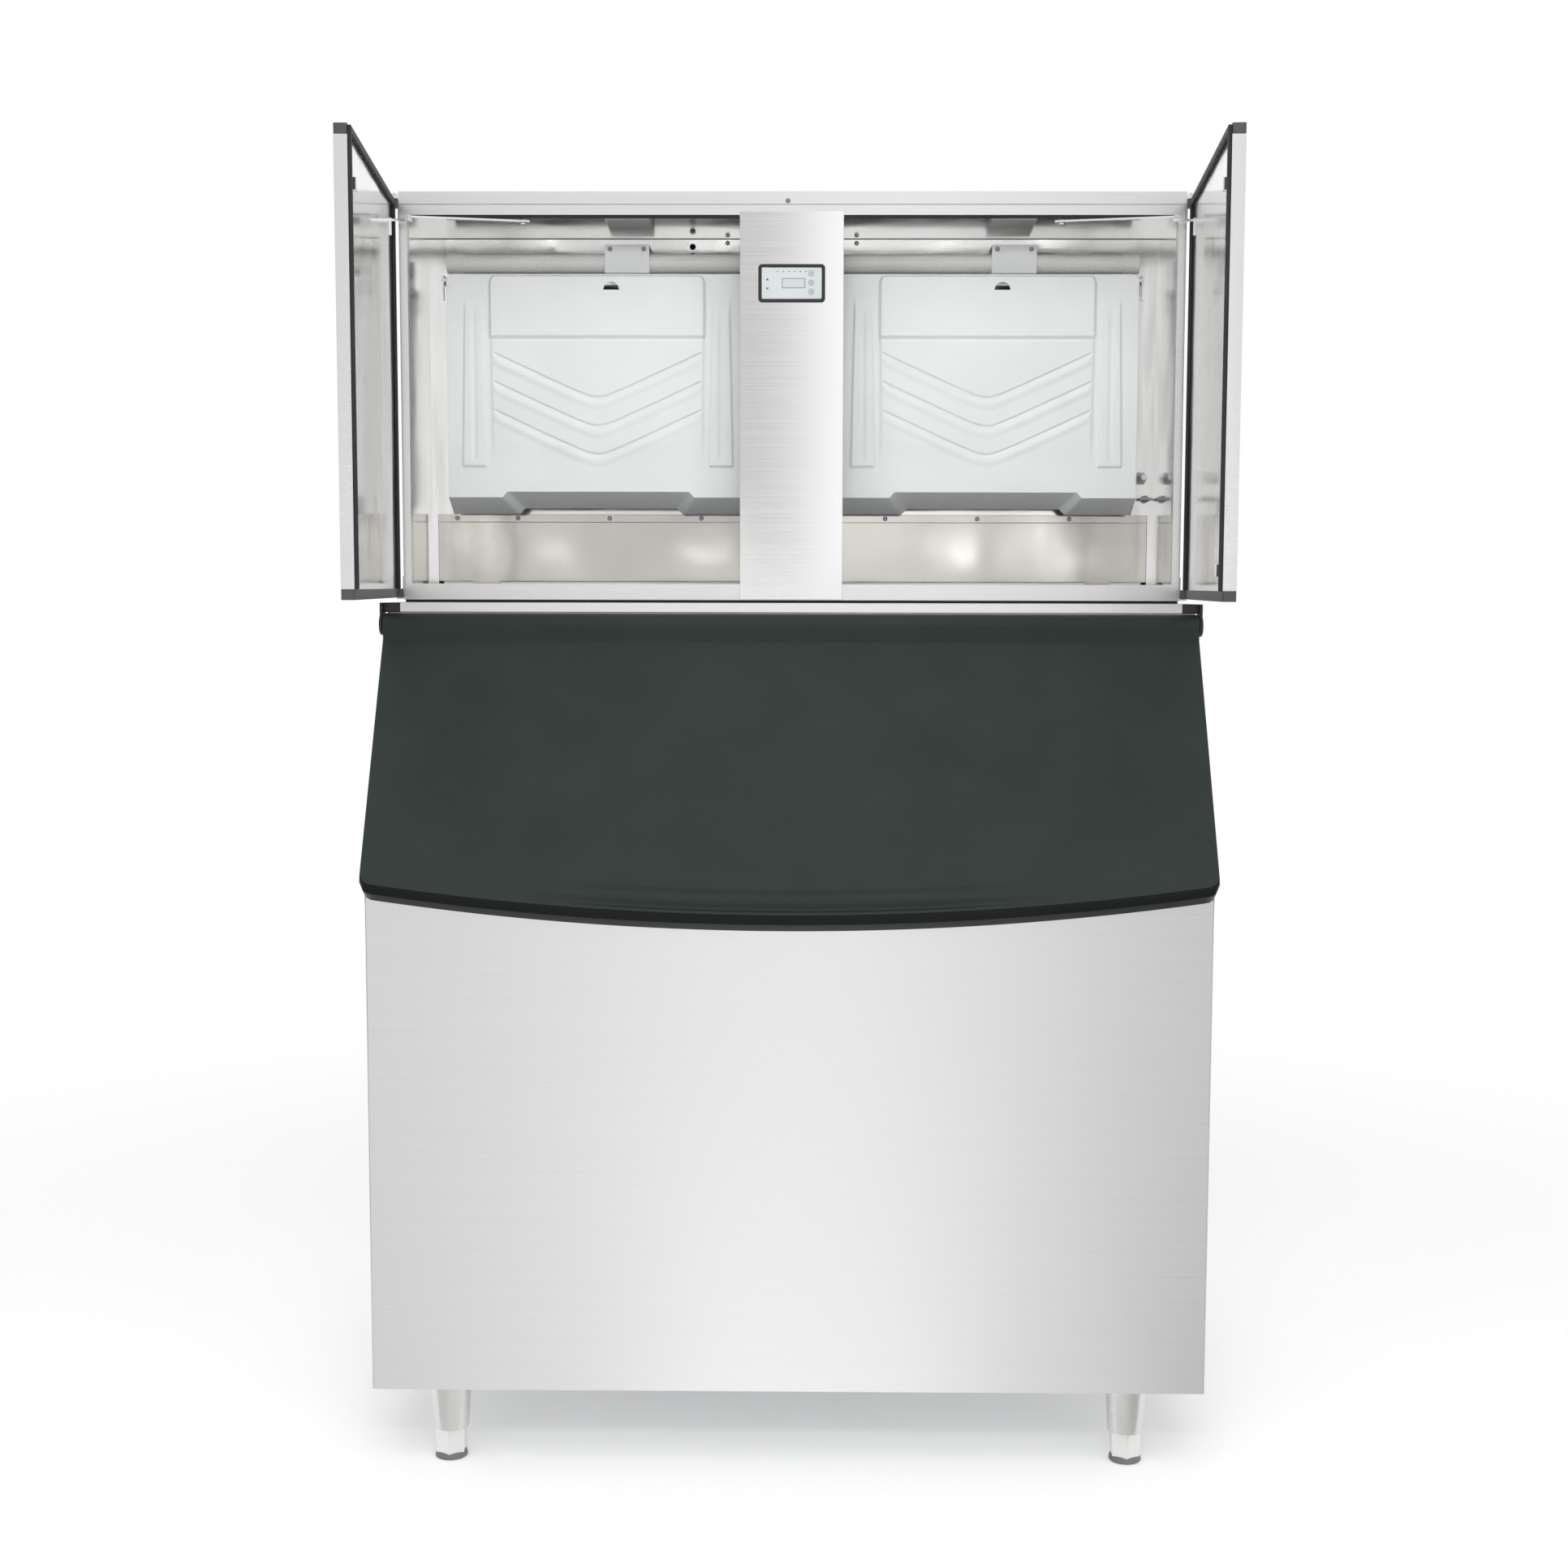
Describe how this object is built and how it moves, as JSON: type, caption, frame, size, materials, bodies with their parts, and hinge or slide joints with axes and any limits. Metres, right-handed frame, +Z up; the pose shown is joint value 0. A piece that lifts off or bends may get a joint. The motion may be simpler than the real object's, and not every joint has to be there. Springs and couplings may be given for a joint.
{
  "type": "modular ice machine",
  "caption": "Stainless ice maker head with side-hinged doors and white water curtains, on an insulated storage bin with a sloping black lid and levelling legs.",
  "frame": {"origin": "on the floor, under the middle of the box round the machine with both doors open", "axes": "+Z up; the doors and the lid face -Y; +X is to the right seen from the front"},
  "size_m": [1.263, 1.1338, 1.91],
  "materials": {
    "stainless": "brushed, horizontal grain",
    "stainless_bright": "bright annealed, nearly mirror",
    "galvanised": "galvanised sheet, satin",
    "copper_plate": "nickel plated, satin",
    "white_plastic": "moulded, soft gloss",
    "white_liner": "moulded, soft gloss",
    "black_plastic": "fine grained, semi-matte",
    "dark_cap": "satin",
    "grey_plastic": "satin",
    "rubber": "soft black",
    "foam_core": "rigid foam",
    "aluminium": "mill finish fins",
    "black_steel": "black enamel",
    "face_blue": "printed membrane"
  },
  "bodies": {
    "cabinet": {"head_base_pan": "stainless", "head_side_left": "stainless", "head_side_right": "stainless", "head_back_panel": "galvanised", "head_top_cover": "stainless", "front_frame": "stainless", "centre_post": "stainless", "opening_strips": "rubber", "bay_liner": "stainless_bright", "bay_wall": "stainless_bright", "evaporator_left": "copper_plate", "evaporator_right": "copper_plate", "guard_panel": "stainless_bright", "water_trough": "white_plastic", "circulation_pump": "grey_plastic", "curtain_hangers": "white_plastic", "distributor_tubes": "white_plastic", "tube_brackets": "white_plastic", "hose_fitting": "white_plastic", "wing_knob": "grey_plastic", "screws": "stainless_bright", "stay_studs": "stainless_bright", "hinge_brackets": "stainless", "control_bezel": "black_plastic", "control_face": "face_blue", "compressor": "black_steel", "condenser": "aluminium", "fan_shroud": "black_steel", "base_gasket": "rubber", "bin_wrap": "stainless", "bin_front_panel": "stainless", "bin_bottom_panel": "galvanised", "bin_top_deck": "stainless", "mouth_frame": "white_liner", "bin_liner": "white_liner", "bin_insulation": "foam_core", "bin_drain": "white_liner", "hinge_fascia": "stainless", "hinge_blocks": "black_plastic", "hinge_rod": "stainless", "legs": "stainless", "levelling_feet": "stainless"},
    "left_door": {"door_left_skin": "stainless", "door_left_inner": "stainless_bright", "door_left_caps": "dark_cap", "door_left_gasket": "rubber", "door_left_fittings": "stainless_bright"},
    "right_door": {"door_right_skin": "stainless", "door_right_inner": "stainless_bright", "door_right_caps": "dark_cap", "door_right_gasket": "rubber", "door_right_fittings": "stainless_bright"},
    "left_stay": {"stay_arm_left": "stainless_bright"},
    "right_stay": {"stay_arm_right": "stainless_bright"},
    "left_curtain": {"curtain_left": "white_plastic"},
    "right_curtain": {"curtain_right": "white_plastic"},
    "bin_lid": {"lid_shell": "black_plastic", "lid_inner": "white_liner", "lid_gasket": "rubber"},
    "fan": {"fan_blade": "grey_plastic"}
  },
  "joints": [
    {"name": "left_door_hinge", "type": "hinge", "parent": "cabinet", "child": "left_door", "pos_m": [-0.611, -0.02212, 1.287], "axis": [0, 0, 1], "range_deg": [0, 85]},
    {"name": "right_door_hinge", "type": "hinge", "parent": "cabinet", "child": "right_door", "pos_m": [0.611, -0.02212, 1.287], "axis": [0, 0, -1], "range_deg": [0, 85]},
    {"name": "left_stay_pivot", "type": "hinge", "parent": "left_door", "child": "left_stay", "pos_m": [-0.58483, -0.04593, 1.866], "axis": [0, 0, 1], "range_deg": [-101.39, 0]},
    {"name": "right_stay_pivot", "type": "hinge", "parent": "right_door", "child": "right_stay", "pos_m": [0.58483, -0.04593, 1.866], "axis": [0, 0, -1], "range_deg": [-101.39, 0]},
    {"name": "left_curtain_pivot", "type": "hinge", "parent": "cabinet", "child": "left_curtain", "pos_m": [-0.31, 0.08588, 1.79], "axis": [-1, 0, 0], "range_deg": [0, 12]},
    {"name": "right_curtain_pivot", "type": "hinge", "parent": "cabinet", "child": "right_curtain", "pos_m": [0.31, 0.08588, 1.79], "axis": [-1, 0, 0], "range_deg": [0, 12]},
    {"name": "lid_hinge", "type": "hinge", "parent": "cabinet", "child": "bin_lid", "pos_m": [0, -0.12312, 1.247], "axis": [-1, 0, 0], "range_deg": [0, 60]},
    {"name": "fan_spin", "type": "hinge", "parent": "cabinet", "child": "fan", "pos_m": [0.355, 0.46988, 1.451], "axis": [0, 1, 0], "continuous": true}
  ],
  "couplings": [
    {"joint": "left_stay_pivot", "follows": "left_door_hinge", "ratio": -1.1869},
    {"joint": "right_stay_pivot", "follows": "right_door_hinge", "ratio": -1.1869}
  ]
}
